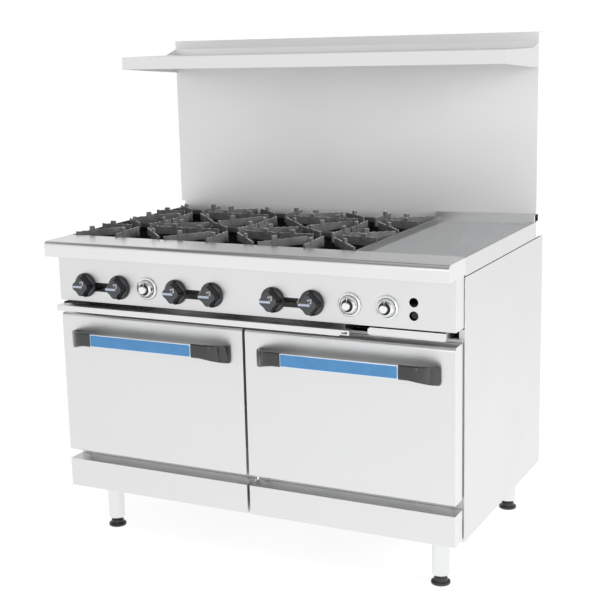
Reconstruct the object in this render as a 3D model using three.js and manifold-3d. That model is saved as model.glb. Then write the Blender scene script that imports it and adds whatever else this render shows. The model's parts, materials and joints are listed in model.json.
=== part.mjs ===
// Commercial gas range, 48 in wide: six open burners with cast-iron grates, a
// griddle section on the right, two ovens below, and a riser with a high shelf.
// Millimetres. +X to the right of someone facing the range, +Y to the back,
// +Z up. Origin on the floor, under the middle of the bounding box.

import * as THREE from 'three';
import { mergeVertices } from 'three/addons/utils/BufferGeometryUtils.js';
import Module from 'manifold-3d';

const wasm = await Module();
wasm.setup();

// ---- driving dimensions -------------------------------------------------
const W2 = 609.6;            // half of the 48 in width
const YF = -416;             // front of the landing ledge
const YB = 416;              // back of the riser
const YP = -356;             // front plane of panel, doors and kick plates
const YS = -294;             // front edge of the side panels
const YR = 345;              // front of the riser
const ZTOP = 1457;           // top of the riser
const T = 2;                 // sheet thickness
const GAP = 0.4;             // clearance between pieces that touch

const BODY_Z0 = 148, BODY_Z1 = 859;
const LEDGE_Z0 = 865, LEDGE_Z1 = 909, LEDGE_YB = -283, LEDGE_R = 13;
const PANEL_Z0 = 728, PANEL_Z1 = 864.6, PANEL_X = 607;
const DOOR_X0 = 4, DOOR_X1 = 606, DOOR_Z0 = 269, DOOR_Z1 = 689, DOOR_YB = -302;
const PIVOT_Y = -344, PIVOT_Z = 276;
const KICK_Z0 = 156, KICK_Z1 = 240.6;
const OVEN_X = 305, OVEN_W2 = 254, OVEN_Z0 = 300, OVEN_Z1 = 656, OVEN_YB = 292;
const SHELF_YF = 28, SHELF_Z0 = 1377, SHELF_Z1 = 1413.6;
const LEG_X = 527, LEG_YF = -246, LEG_YB = 364, LEG_R = 24;
const HANDLE_Z0 = 609, HANDLE_Z1 = 645, HANDLE_YF = -412;
const KNOB_X = [-515, -399, -210, -94, 94, 210], KNOB_Z = 777;
const DIAL_X = [-305, 318, 422], DIAL_Z = 780;
const COL_X = [-455, -151, 153];           // columns of open burners
const ROW_Y = [-129, 180.5];               // front and rear rows
const GRATE_W = 300, GRATE_D = 302, GRATE_Z0 = 889, GRATE_Z1 = 922, GRATE_NUB = 930;
const MANIFOLD_Y = -318, MANIFOLD_Z = 777, MANIFOLD_R = 13;
const INLET_X = 570;

// ---- helpers ------------------------------------------------------------
function solid(geometry) {
  const g = geometry.clone();
  g.deleteAttribute('normal');
  g.deleteAttribute('uv');
  const m = mergeVertices(g, 1e-3);
  const idx = m.index.array, keep = [];
  for (let i = 0; i < idx.length; i += 3) {
    const a = idx[i], b = idx[i + 1], c = idx[i + 2];
    if (a !== b && b !== c && a !== c) keep.push(a, b, c);
  }
  return new wasm.Manifold(new wasm.Mesh({
    numProp: 3,
    vertProperties: new Float32Array(m.attributes.position.array),
    triVerts: new Uint32Array(keep),
  }));
}
const union = (...s) => s.flat().reduce((a, b) => a.add(b));
const cut = (a, ...s) => s.flat().reduce((x, y) => x.subtract(y), a);

function box(x0, x1, y0, y1, z0, z1) {
  const g = new THREE.BoxGeometry(x1 - x0, y1 - y0, z1 - z0);
  g.translate((x0 + x1) / 2, (y0 + y1) / 2, (z0 + z1) / 2);
  return solid(g);
}
// cylinder along an axis, from a to b, its axis through the other two numbers
function cyl(axis, r, a, b, u, v, seg = 12, r2 = r) {
  const g = new THREE.CylinderGeometry(r2, r, b - a, seg);   // along +Y
  if (axis === 'x') { g.rotateZ(-Math.PI / 2); g.translate((a + b) / 2, u, v); }
  if (axis === 'y') g.translate(u, (a + b) / 2, v);
  if (axis === 'z') { g.rotateX(Math.PI / 2); g.translate(u, v, (a + b) / 2); }
  return solid(g);
}
function shapeOf(points) {
  const s = new THREE.Shape();
  points.forEach((p, i) => (i ? s.lineTo(p[0], p[1]) : s.moveTo(p[0], p[1])));
  s.closePath();
  return s;
}
// profile in (y, z), run along X
function runX(points, x0, x1) {
  const g = new THREE.ExtrudeGeometry(shapeOf(points), { depth: x1 - x0, bevelEnabled: false });
  g.applyMatrix4(new THREE.Matrix4().makeBasis(
    new THREE.Vector3(0, 1, 0), new THREE.Vector3(0, 0, 1), new THREE.Vector3(1, 0, 0)));
  g.translate(x0, 0, 0);
  return solid(g);
}
// outline in (x, z), run along Y
function runY(points, y0, y1) {
  const g = new THREE.ExtrudeGeometry(shapeOf(points), { depth: y1 - y0, bevelEnabled: false });
  g.rotateX(Math.PI / 2);
  g.translate(0, y1, 0);
  return solid(g);
}
// outline in (x, y), run along Z
function runZ(points, z0, z1) {
  const g = new THREE.ExtrudeGeometry(shapeOf(points), { depth: z1 - z0, bevelEnabled: false });
  g.translate(0, 0, z0);
  return solid(g);
}
// lathe about the vertical axis; profile [r, z] starts and ends on the axis
function lathe(profile, seg = 24) {
  const g = new THREE.LatheGeometry(profile.map((p) => new THREE.Vector2(p[0], p[1])), seg);
  g.rotateX(Math.PI / 2);
  return solid(g);
}
// lathe whose axis points to the front (-Y); profile [r, distance to the front]
function latheFront(profile, x, y, z, seg = 24) {
  return lathe(profile, seg).rotate([90, 0, 0]).translate([x, y, z]);
}
// round bar along a smooth path
function rod(points, r, seg = 10, steps = 16) {
  const path = new THREE.CatmullRomCurve3(points.map((p) => new THREE.Vector3(...p)), false, 'catmullrom', 0.3);
  const s = new THREE.Shape();
  for (let i = 0; i < seg; i++) {
    const a = (2 * Math.PI * i) / seg;
    if (i) s.lineTo(r * Math.cos(a), r * Math.sin(a)); else s.moveTo(r, 0);
  }
  s.closePath();
  return solid(new THREE.ExtrudeGeometry(s, { steps, extrudePath: path, bevelEnabled: false }));
}
function arc(cy, cz, r, a0, a1, n) {
  const out = [];
  for (let i = 0; i <= n; i++) {
    const a = ((a0 + ((a1 - a0) * i) / n) * Math.PI) / 180;
    out.push([cy + r * Math.cos(a), cz + r * Math.sin(a)]);
  }
  return out;
}

const range = new THREE.Group();
const LOOK = {
  steel: [0xd9dadb, 0.32, 0.9], steelDark: [0x8f9296, 0.45, 0.8], iron: [0x3a3b3d, 0.75, 0.3],
  black: [0x1b1c1e, 0.5, 0.1], knob: [0x26304a, 0.4, 0.0], chrome: [0xe6e8ea, 0.08, 1.0],
  insert: [0x5b9bd2, 0.45, 0.0], endcap: [0x2b2d31, 0.25, 0.1], enamel: [0x2f3136, 0.3, 0.1],
  brass: [0xb5934f, 0.35, 0.9], plate: [0xa5a7aa, 0.35, 0.85], galv: [0xb4b8ba, 0.5, 0.7],
};
function part(name, body, look, pos) {
  const m = body.getMesh();
  const g = new THREE.BufferGeometry();
  g.setAttribute('position', new THREE.BufferAttribute(new Float32Array(m.vertProperties), 3));
  g.setIndex(new THREE.BufferAttribute(new Uint32Array(m.triVerts), 1));
  g.computeVertexNormals();
  const [color, roughness, metalness] = LOOK[look];
  const mesh = new THREE.Mesh(g, new THREE.MeshStandardMaterial({ color, roughness, metalness, name: look }));
  mesh.name = name;
  if (pos) mesh.position.set(...pos);
  range.add(mesh);
  return mesh;
}
const SIDES = [['left', -1], ['right', 1]];
// interval on one side of the centre plane
const sx = (s, a, b) => (s > 0 ? [a, b] : [-b, -a]);

// ---- body sheets --------------------------------------------------------
for (const [side, s] of SIDES) {
  // flat side with a return at the front and a foot flange
  let p = box(...sx(s, W2 - T, W2), YS, YB - 0.3, BODY_Z0, BODY_Z1);
  p = union(p, box(...sx(s, W2 - 16, W2 - T / 2), YS, YS + 1.6, BODY_Z0, s > 0 ? 724 : 698),
    box(...sx(s, W2 - 20, W2 - T / 2), YS, YB - 0.3, BODY_Z0, BODY_Z0 + 1.6));
  part(`side_panel_${side}`, p, 'steel');
}
part('back_panel', cut(box(-588, 588, 412, 413.6, 160, 856),
  cyl('y', 16, 405, 420, INLET_X, MANIFOLD_Z, 10)), 'galv');

// welded frame of angle irons, with corner posts
{
  const z0 = 152, z1 = 212, x = 603, y0 = -288, y1 = 408, w = 40, t = 3;
  let f = cut(box(-x, x, y0, y1, z0, z1), box(-x + w, x - w, y0 + w, y1 - w, z0 - 1, z1 + 1));
  f = cut(f, box(-x + t, x - t, y0 + t, y1 - t, z0 + t, z1 + 1));
  f = union(f, box(-20, 20, y0 + 1, y1 - 1, z0, z0 + t), box(-1.5, 1.5, y0 + 1, y1 - 1, z0 + 1, z1 - 1));
  for (const s of [-1, 1]) {
    for (const [ya, yb] of [[y0 + 1, -203], [321, y1 - 1]]) f = union(f, box(...sx(s, 480, x - 1), ya, yb, z0, z0 + t));
  }
  for (const sx_ of [-1, 1]) {
    for (const [ya, yb] of [[y0, y0 + 34], [y1 - 34, y1]]) {
      const near = ya === y0;
      const [xa, xb] = sx_ > 0 ? [x - 34, x - 0.5] : [-x + 0.5, -x + 34];
      const post = cut(box(xa, xb, ya, yb, z0 + 1, 698),
        box(sx_ > 0 ? xa - 1 : xa + 3, sx_ > 0 ? xb - 3 : xb + 1, near ? ya + 3 : ya - 1, near ? yb + 1 : yb - 3, z0, 699));
      f = union(f, post);
    }
  }
  part('base_frame', f, 'galv');
}

// ---- legs and levelling feet --------------------------------------------
for (const [fb, y] of [['front', LEG_YF], ['rear', LEG_YB]]) {
  for (const [side, s] of SIDES) {
    let tube = lathe([[0, 22], [19, 22], [LEG_R, 30], [LEG_R, 146], [0, 146]], 16);
    tube = cut(tube, cyl('z', 20.5, 44, 142, 0, 0, 8), cyl('z', 10.6, 10, 60, 0, 0, 8));
    tube = union(tube, box(-44, 44, -40, 40, 146 - 0.01, 151.6));
    // a small vent hole so the tube's inside is open to the frame
    tube = cut(tube, cyl('z', 6, 130, 160, 0, 0, 8));
    part(`leg_${fb}_${side}`, tube, 'steel', [s * LEG_X, y, 0]);
    const foot = union(lathe([[0, 0], [26.5, 0], [26.5, 8], [19, 9], [18, 20.4], [0, 20.4]], 16),
      cyl('z', 9.6, 20, 104, 0, 0, 8));
    part(`foot_${fb}_${side}`, foot, 'black', [s * LEG_X, y, 0]);
  }
}

// ---- kick plates --------------------------------------------------------
for (const [side, s] of SIDES) {
  const [a, b] = sx(s, DOOR_X0, DOOR_X1);
  part(`kick_plate_${side}`, cut(box(a, b, YP, -299, KICK_Z0, KICK_Z1),
    box(a + 1.6, b - 1.6, YP + 1.6, -298, KICK_Z0 + 1.6, KICK_Z1 - 1.6)), 'steel');
}

// ---- ovens --------------------------------------------------------------
for (const [side, s] of SIDES) {
  const cx = s * OVEN_X, t = 2, yf = -297.4;
  let o = box(cx - OVEN_W2 - t, cx + OVEN_W2 + t, yf, OVEN_YB + t, OVEN_Z0 - t, OVEN_Z1 + t);
  const [a, b] = sx(s, 3, 604);
  o = union(o, box(a, b, yf, yf + t, 214, 697));
  o = cut(o, box(cx - OVEN_W2, cx + OVEN_W2, yf - 5, OVEN_YB, OVEN_Z0, OVEN_Z1));
  // pressed ledges that carry the rack at three heights
  for (const z of [372, 432, 492]) {
    for (const q of [-1, 1]) {
      o = union(o, box(cx + (q < 0 ? -OVEN_W2 - 1 : OVEN_W2 - 12), cx + (q < 0 ? -OVEN_W2 + 12 : OVEN_W2 + 1), -280, 280, z, z + 4));
    }
  }
  // flue slot high in the back wall
  o = cut(o, box(cx - 120, cx + 120, OVEN_YB - 5, OVEN_YB + 8, 622, 642));
  part(`oven_liner_${side}`, o, 'enamel');

  // wire rack lying on the middle ledge
  const rz = 436.4, rw = OVEN_W2 - 3, r0 = -272, r1 = 284;
  const wires = [box(cx - rw, cx - rw + 7, r0, r1, rz, rz + 7), box(cx + rw - 7, cx + rw, r0, r1, rz, rz + 7)];
  for (const y of [r0, r1 - 7]) wires.push(box(cx - rw + 1, cx + rw - 1, y, y + 7, rz + 0.5, rz + 6.5));
  for (let i = 1; i <= 7; i++) {
    const x = cx - rw + (2 * rw * i) / 8;
    wires.push(box(x - 2.5, x + 2.5, r0 + 1, r1 - 1, rz + 2, rz + 6));
  }
  part(`oven_rack_${side}`, union(wires), 'chrome');
}
// both oven burners under the oven floors, one cross pipe and the riser to the gas manifold
{
  const z = 264, y = 355;
  let p = union(cyl('x', 9, -385, 584, y, z, 8), cyl('z', 9, z - 9, 762.6, 584, y, 8));
  for (const s of [-1, 1]) {
    for (const q of [-70, 70]) p = union(p, cyl('y', 15, -240, 300, s * OVEN_X + q, z + 2, 8), cyl('y', 8, 290, y, s * OVEN_X + q, z, 6));
  }
  part('oven_burner_line', p, 'steelDark');
}

// ---- oven doors ---------------------------------------------------------
for (const [side, s] of SIDES) {
  const [a, b] = sx(s, DOOR_X0, DOOR_X1);
  const t = 1.6;
  const outer = [[DOOR_YB, DOOR_Z0], [DOOR_YB, DOOR_Z1], ...arc(YP + 10, DOOR_Z1 - 10, 10, 90, 180, 4), ...arc(YP + 3, DOOR_Z0 + 3, 3, 180, 270, 2)];
  const inner = [[DOOR_YB + 2, DOOR_Z0 + t], [DOOR_YB + 2, DOOR_Z1 - t], ...arc(YP + 10, DOOR_Z1 - 10, 10 - t, 90, 180, 3), [YP + t, DOOR_Z0 + t]];
  let shell = cut(runX(outer, a, b), runX(inner, a + t, b - t));
  // slots in the bottom flange for the hinge brackets
  const brackets = [a + 26, b - 26];
  for (const x of brackets) shell = cut(shell, box(x - 8, x + 8, YP + 2.2, DOOR_YB + 1, DOOR_Z0 - 1, DOOR_Z0 + 4));
  part(`door_shell_${side}`, shell, 'steel');

  // inner pan: closes the shell, with a raised field that enters the oven mouth
  const cx = s * OVEN_X;
  let liner = union(box(a + 2, b - 2, DOOR_YB + 0.4, DOOR_YB + 2.2, DOOR_Z0 + 2, DOOR_Z1 - 2),
    box(cx - OVEN_W2 + 8, cx + OVEN_W2 - 8, DOOR_YB + 1, -290, OVEN_Z0 + 8, OVEN_Z1 - 8));
  liner = cut(liner, box(cx - OVEN_W2 + 10, cx + OVEN_W2 - 10, DOOR_YB - 1, -292, OVEN_Z0 + 10, OVEN_Z1 - 10));
  for (const x of brackets) liner = cut(liner, box(x - 10, x + 10, DOOR_YB - 1, DOOR_YB + 4, DOOR_Z0, 290));
  // hinge lugs that reach forward inside the shell to the pivot line
  for (const x of [a + 44, b - 44]) {
    liner = union(liner, cut(box(x - 3, x + 3, PIVOT_Y - 8.5, DOOR_YB + 1, DOOR_Z0 + 2, PIVOT_Z + 14),
      cyl('x', 4.8, x - 5, x + 5, PIVOT_Y, PIVOT_Z, 10)));
  }
  part(`door_liner_${side}`, liner, 'enamel');

  // hinge rod on two brackets whose arms come forward from the face frame
  let h = cyl('x', 4, a + 20, b - 20, PIVOT_Y, PIVOT_Z, 8);
  for (const x of brackets) {
    h = union(h, box(x - 2.5, x + 2.5, PIVOT_Y - 5, -298.5, PIVOT_Z - 4.6, PIVOT_Z + 5),
      box(x - 7, x + 7, -301.2, -297.9, 244, PIVOT_Z + 8));
  }
  part(`hinge_rod_${side}`, h, 'steelDark');

  // bar handle: end caps sweep back to the door face and flare downwards
  const profile = [];
  const N = 10;
  const front = [], back = [];
  for (let i = 0; i <= N; i++) {
    const u = i / N;
    const x = 168 + 96 * u;
    const e = Math.pow(u, 2.1);
    front.push([x, HANDLE_YF + (YP - 0.5 - HANDLE_YF) * e * 0.9]);
  }
  for (let i = 0; i <= N; i++) {
    const u = i / N;
    const x = 168 + 84 * u;
    const e = Math.pow(u, 2.1);
    back.push([x, HANDLE_YF + 14 + (YP - 0.5 - HANDLE_YF - 14) * e]);
  }
  const outline = [...front, [264, YP - 0.4], ...back.reverse()];
  const armR = runZ(outline, 580, 650);
  const arm = armR.intersect(runY([[160, 607], [196, 604.5], [232, 596], [268, 586], [268, 640], [232, 644], [196, 646], [160, 647]], YF, YP + 10));
  const bar = union(box(-170, 170, HANDLE_YF + 4.4, HANDLE_YF + 10, 611, 641));
  let handle = union(bar, arm, arm.mirror([1, 0, 0]));
  handle = handle.translate([cx, 0, 0]);
  part(`door_handle_${side}`, handle, 'endcap');
  part(`handle_insert_${side}`, runX([[HANDLE_YF + 4, HANDLE_Z0], [HANDLE_YF + 4, HANDLE_Z1], [HANDLE_YF + 1.2, HANDLE_Z1], [HANDLE_YF, HANDLE_Z1 - 1.6],
    [HANDLE_YF, HANDLE_Z0 + 1.6], [HANDLE_YF + 1.2, HANDLE_Z0]], cx - 167.4, cx + 167.4), 'insert');
}

// ---- landing ledge ------------------------------------------------------
{
  const r = LEDGE_R;
  const outer = [[LEDGE_YB, LEDGE_Z0], [LEDGE_YB, LEDGE_Z1], ...arc(YF + r, LEDGE_Z1 - r, r, 90, 180, 6), ...arc(YF + 2, LEDGE_Z0 + 2, 2, 180, 270, 2)];
  const inner = [[LEDGE_YB - 1.6, LEDGE_Z0 + T], [LEDGE_YB - 1.6, LEDGE_Z1 - T], ...arc(YF + r, LEDGE_Z1 - r, r - T, 90, 180, 6), [YF + T, LEDGE_Z0 + T]];
  let l = cut(runX(outer, -W2, W2), runX(inner, -W2 + T, W2 - T));
  l = cut(l, box(-W2 + T, W2 - T, -338, LEDGE_YB - 1.6, LEDGE_Z0 - 1, LEDGE_Z0 + 5));
  for (const s of [-1, 1]) l = cut(l, box(...sx(s, W2 - 2.2, W2 + 1), -293.4, LEDGE_YB + 1, LEDGE_Z0 - 1, LEDGE_Z1 + 1));
  part('top_ledge', l, 'steel');
}

// ---- control panel ------------------------------------------------------
{
  const X = PANEL_X;
  let p = cut(box(-X, X, YP, YS - GAP, PANEL_Z0, PANEL_Z1), box(-X + T, X - T, YP + T, YS + 5, PANEL_Z0 + T, PANEL_Z1 + 5));
  p = cut(p, box(-X + T, X - T, YP + 28, YS + 5, PANEL_Z0 - 1, PANEL_Z0 + 5));
  for (const x of KNOB_X) p = cut(p, cyl('y', 7, YP - 3, YP + 5, x, KNOB_Z, 8));
  for (const x of DIAL_X) p = cut(p, cyl('y', 7, YP - 3, YP + 5, x, DIAL_Z, 8));
  for (const z of [798, 763]) p = cut(p, cyl('y', 12.5, YP - 3, YP + 5, 495, z, 12));
  for (const x of [-457, -152, 152]) p = cut(p, box(x - 28, x + 28, YP - 3, YP + 5, 760, 786));
  part('control_panel', p, 'steel');
}

// ---- knobs and dials ----------------------------------------------------
// grip outline in the face plane: a wedge with a pointer nose and a thumb bite
const GRIP = [[2, 32], [-12, 29], [-24, 18], [-25, 0], [-14, -11], [-11, -24], [0, -32],
  [14, -26], [23, -8], [23, 16], [27, 26], [13, 28]];
KNOB_X.forEach((x, i) => {
  const skirt = latheFront([[0, 0.6], [35, 0.6], [35, 5], [30, 9], [0, 9]], 0, 0, 0, 18);
  const grip = runY(GRIP, -33, -7);
  let k = union(skirt, grip);
  k = cut(k, cyl('y', 5, -21, 2, 0, 0, 8));
  part(`burner_knob_${i + 1}`, k, 'knob', [x, YP, KNOB_Z]);
});
DIAL_X.forEach((x, i) => {
  let d = latheFront([[0, 0.6], [32.5, 0.6], [32.5, 4], [25, 6], [22.5, 14], [10.5, 20], [10.5, 28], [0, 28]], 0, 0, 0, 18);
  d = cut(d, cyl('y', 5, -20, 2, 0, 0, 8));
  part(['oven_dial_left', 'oven_dial_right', 'griddle_dial'][i], d, 'chrome', [x, YP, DIAL_Z]);
});

// ---- gas manifold with valves and stems ---------------------------------
{
  let m = cyl('x', MANIFOLD_R, -560, INLET_X, MANIFOLD_Y, MANIFOLD_Z, 8);
  m = union(m, cyl('y', MANIFOLD_R, MANIFOLD_Y - MANIFOLD_R, YB - 0.2, INLET_X, MANIFOLD_Z, 8));
  for (const x of [...KNOB_X, ...DIAL_X]) {
    const z = DIAL_X.includes(x) ? DIAL_Z : KNOB_Z;
    m = union(m, box(x - 12, x + 12, YP + 6, MANIFOLD_Y - 4, z - 12, z + 12), cyl('y', 4, YP - 17, YP + 8, x, z, 6));
    if (z === KNOB_Z) m = union(m, cyl('y', 5, MANIFOLD_Y, MANIFOLD_Y + 20, x, MANIFOLD_Z, 6));
  }
  part('gas_manifold', m, 'steelDark');
}

// ---- cooktop frame ------------------------------------------------------
// box round the burners with rails for the grates, the pull-out tray and the grease drawer
{
  const x = 606, y0 = -293, y1 = 342;
  // rim that shows above the side panels
  let f = union(box(-W2, -608, y0, y1, 861.5, LEDGE_Z1), box(608, W2, y0, y1, 861.5, LEDGE_Z1));
  f = union(f, cut(box(-609, 609, -277, y1 - 1, 862, 864), box(-605, 605, -300, 339, 861, 865)));
  // box walls down to the runners, with a divider between the burners and the griddle
  f = union(f, cut(box(-x, x, -278, 340, 699, 884), box(-604, 604, -300, 338, 690, 900)));
  f = union(f, box(302.5, 304.5, -276, 339, 700, 883));
  f = cut(f, cyl('y', 16, 330, 350, INLET_X, MANIFOLD_Z, 10));
  // runners
  for (const [a, b] of [[-605, -580], [282, 380], [568, 605]]) f = union(f, box(a, b, -275, 339, 699.5, 701.5));
  // rails that carry the grates: one plate with six windows
  let rails = box(-605, 303.5, -277, 339, 876, GRATE_Z0 - 0.5);
  for (const [ya, yb] of [[-268, 19], [33, 326]]) {
    for (const [xa, xb] of [[-598, -310], [-296, -6], [8, 296]]) rails = cut(rails, box(xa, xb, ya, yb, 870, 895));
  }
  f = union(f, rails);
  // bars under the venturis
  for (const y of [-40, 262]) f = union(f, box(-605, 303.5, y, y + 16, 786, 789));
  part('cooktop_frame', f, 'black');
}

// ---- open burners -------------------------------------------------------
// cast head on a curved venturi that starts at its valve's orifice
COL_X.forEach((cx, c) => {
  ROW_Y.forEach((cy, r) => {
    const vx = r === 0 ? KNOB_X[2 * c + 1] : KNOB_X[2 * c];
    const zc = 806;
    const head = union(
      lathe([[0, 824], [22, 824], [47, 843], [49, 855], [34, 865], [28, 872], [0, 872]], 12).translate([cx, cy, 0]),
      cyl('z', 21, 806, 828, cx, cy, 8));
    const path = r === 0
      ? [[vx, -288, 800], [vx, -250, 802], [(vx + cx) / 2 + 6, -190, zc], [cx, cy + 4, 812]]
      : [[vx, -288, 800], [vx, -200, 802], [vx, 20, zc], [vx + 2, 90, zc], [cx, cy + 4, 812]];
    let b = union(head, rod(path, 15, 8, r === 0 ? 5 : 8));
    b = union(b, cyl('y', 21, -290, -262, vx, 801, 8, 16));
    part(`burner_${r ? 'rear' : 'front'}_${c + 1}`, b, 'iron');
  });
});

// ---- cast-iron grates ---------------------------------------------------
// low square rim; eight upright fingers, deepest at their inner ends, each with a pan lug across it
function finger(r0, r1, a, w, top0, top1, bottom0) {
  const prof = [[r1, GRATE_Z0 + 1], [r1, top1], [r0, top0], [r0 + 2, bottom0], [r0 + 46, bottom0 + 1.5]];
  return runY(prof, -w / 2, w / 2).rotate([0, 0, a]);
}
function lug(r, a) {
  return box(r - 8, r + 8, -5, 5, GRATE_Z1 - 12, GRATE_NUB).rotate([0, 0, a]);
}
ROW_Y.forEach((cy, r) => {
  COL_X.forEach((cx, c) => {
    const w = GRATE_W / 2, d = GRATE_D / 2, z0 = GRATE_Z0;
    const K = 13;   // corner cut
    const oct = (m) => [[-w + m + K, -d + m], [w - m - K, -d + m], [w - m, -d + m + K], [w - m, d - m - K], [w - m - K, d - m], [-w + m + K, d - m], [-w + m, d - m - K], [-w + m, -d + m + K]];
    let g = cut(runZ(oct(0), z0, z0 + 14), runZ(oct(10), z0 - 1, z0 + 20));
    for (const a of [45, 135, 225, 315]) g = union(g, finger(60, 212, a, 7, GRATE_Z1, GRATE_Z1 - 5, z0 + 10));
    for (const a of [0, 180]) g = union(g, finger(45, w, a, 7, GRATE_Z1, GRATE_Z1 - 1, z0 + 8));
    for (const a of [90, 270]) g = union(g, finger(30, d, a, 7, GRATE_Z1, GRATE_Z1 - 4, z0 + 4));
    for (const [q, a] of [[116, 45], [136, 135], [156, 225], [136, 315], [110, 0], [110, 90], [110, 180], [110, 270]]) g = union(g, lug(q, a));
    g = g.intersect(runZ(oct(0), z0, GRATE_NUB));
    part(`grate_${r ? 'rear' : 'front'}_${c + 1}`, g, 'iron', [cx, cy, 0]);
  });
});

// ---- griddle ------------------------------------------------------------
{
  const x0 = 305, x1 = 607, y0 = -281, y1 = 340;
  let g = box(338, 596.5, y0 + 1, 330, 885, 904);
  g = union(g, box(x0, 339, y0 + 1, 330, 885, 890));                   // trough floor
  g = cut(g, cyl('z', 14, 880, 895, 322, -240, 16));                   // drain to the drawer
  g = union(g, box(x0, x0 + 2.4, y0 + 1, 330, 885, 910));              // left wall
  g = union(g, box(595, x1, y0 + 1, y1, 885, 909));                    // right rim
  g = union(g, box(x0, x1, 329, y1, 885, 931));                        // rear upstand
  part('griddle_plate', g, 'plate');
  let b = union(cyl('y', 13, -180, 250, 396, 838, 8), cyl('y', 13, -180, 250, 528, 838, 8),
    box(386, 538, -196, -170, 826, 850), rod([[422, -288, 800], [422, -250, 803], [424, -205, 822], [426, -182, 836]], 13, 8, 4));
  part('griddle_burner', b, 'steelDark');
}

// ---- crumb tray and grease drawer ---------------------------------------
{
  const x0 = -602, x1 = 300, y0 = -384, y1 = 330, t = 1.6;
  let tray = cut(box(x0, x1, -352, y1, 702.2, 721), box(x0 + t, x1 - t, -352 + t, y1 - t, 702.2 + t, 730));
  tray = cut(tray, box(x0 - 1, x1 + 1, -353, -350.4, 717, 730));
  tray = union(tray, box(x0, x1, y0, -350.6, 715.4, 717), box(x0, x1, y0, y0 + t, 701, 717));
  // turned-up hook at the right end of the front lip
  tray = union(tray, box(x1 - 1, 328, y0, y0 + t, 704, 717), box(x1 - 1, 328, y0, y0 + 18, 715.4, 717));
  tray = cut(tray, box(306, 322, y0 - 1, y0 + 3, 707, 713));
  part('crumb_tray', tray, 'steel');
  const f = [[368, 706], [581, 706], [581, 724.2], [374, 724.2], [368, 719]];
  let dr = cut(box(372, 577, -353, 250, 702.2, 723), box(372 + t, 577 - t, -353 + t, 250 - t, 702.2 + t, 730));
  dr = union(dr, runY(f, YP - 1, -351.4));
  part('grease_drawer', dr, 'steel');
}

// ---- riser and high shelf -----------------------------------------------
{
  let r = cut(box(-W2, W2, YR, YB, 861.8, ZTOP), box(-W2 + T, W2 - T, YR + T, YB - T, 850, ZTOP - T));
  // flue outlet: a row of slots high on the back
  for (let i = 0; i < 6; i++) r = cut(r, box(-560 + i * 190, -400 + i * 190, YB - 4, YB + 4, 1410, 1428));
  // small gap at the bottom front corner on each side
  for (const s of [-1, 1]) r = cut(r, box(...sx(s, 596, 612), YR - 2, 366, 910, 931));
  // notch where the gas inlet passes below, and an open front under the rear upstand
  part('riser_panel', r, 'steel');
  const yb = YR - GAP;
  let s = union(box(-W2, W2, SHELF_YF, yb, SHELF_Z1 - T, SHELF_Z1), box(-W2, W2, SHELF_YF, SHELF_YF + T, SHELF_Z0, SHELF_Z1),
    box(-W2, W2, SHELF_YF, SHELF_YF + 14, SHELF_Z0, SHELF_Z0 + T), box(-W2, W2, yb - T, yb, SHELF_Z1 - 1, 1431));
  const gusset = [[SHELF_YF, SHELF_Z0], [yb, 1356], [yb, 1431], [yb - 60, SHELF_Z1], [SHELF_YF, SHELF_Z1]];
  s = union(s, runX(gusset, -W2, -W2 + T), runX(gusset, W2 - T, W2));
  part('high_shelf', s, 'steel');
}

export default range;
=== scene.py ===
# Looks of the commercial gas range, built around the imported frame.
import json
import math

import bmesh
import bpy
from mathutils import Matrix, Vector

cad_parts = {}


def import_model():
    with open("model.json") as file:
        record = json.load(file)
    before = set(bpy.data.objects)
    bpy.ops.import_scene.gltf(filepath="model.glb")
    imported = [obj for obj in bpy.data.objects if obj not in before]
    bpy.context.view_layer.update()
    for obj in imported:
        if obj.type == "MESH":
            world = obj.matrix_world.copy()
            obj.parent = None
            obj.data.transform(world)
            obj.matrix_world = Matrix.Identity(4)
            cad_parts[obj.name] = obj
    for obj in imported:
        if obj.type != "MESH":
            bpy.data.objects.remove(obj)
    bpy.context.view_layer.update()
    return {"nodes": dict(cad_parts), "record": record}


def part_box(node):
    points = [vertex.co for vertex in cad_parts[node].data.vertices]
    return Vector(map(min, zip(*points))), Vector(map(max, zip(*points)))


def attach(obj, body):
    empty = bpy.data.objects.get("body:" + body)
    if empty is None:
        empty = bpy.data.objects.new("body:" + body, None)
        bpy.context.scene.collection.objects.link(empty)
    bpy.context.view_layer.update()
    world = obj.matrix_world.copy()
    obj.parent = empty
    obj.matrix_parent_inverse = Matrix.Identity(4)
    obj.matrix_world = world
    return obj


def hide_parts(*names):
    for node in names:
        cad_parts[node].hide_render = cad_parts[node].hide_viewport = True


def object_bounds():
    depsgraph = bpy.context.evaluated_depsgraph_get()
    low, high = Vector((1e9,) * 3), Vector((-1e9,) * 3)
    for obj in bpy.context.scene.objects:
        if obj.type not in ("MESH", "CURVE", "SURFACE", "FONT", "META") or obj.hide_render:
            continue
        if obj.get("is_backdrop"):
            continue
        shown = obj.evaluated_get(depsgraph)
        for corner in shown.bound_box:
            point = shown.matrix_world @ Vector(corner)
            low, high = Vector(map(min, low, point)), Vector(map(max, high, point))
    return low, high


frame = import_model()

MM = 0.001
NODES = frame["nodes"]
BODY_OF = {n: b for b, ns in frame["record"]["behaviour"]["bodies"].items() for n in ns}


def mm(node):
    """A node's box in millimetres."""
    lo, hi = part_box(node)
    return lo / MM, hi / MM


# ------------------------------------------------------------------ materials
def _mat(name):
    m = bpy.data.materials.new(name)
    m.use_nodes = True
    nt = m.node_tree
    nt.nodes.clear()
    out = nt.nodes.new("ShaderNodeOutputMaterial")
    p = nt.nodes.new("ShaderNodeBsdfPrincipled")
    nt.links.new(p.outputs[0], out.inputs[0])
    return m, nt, p


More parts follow.
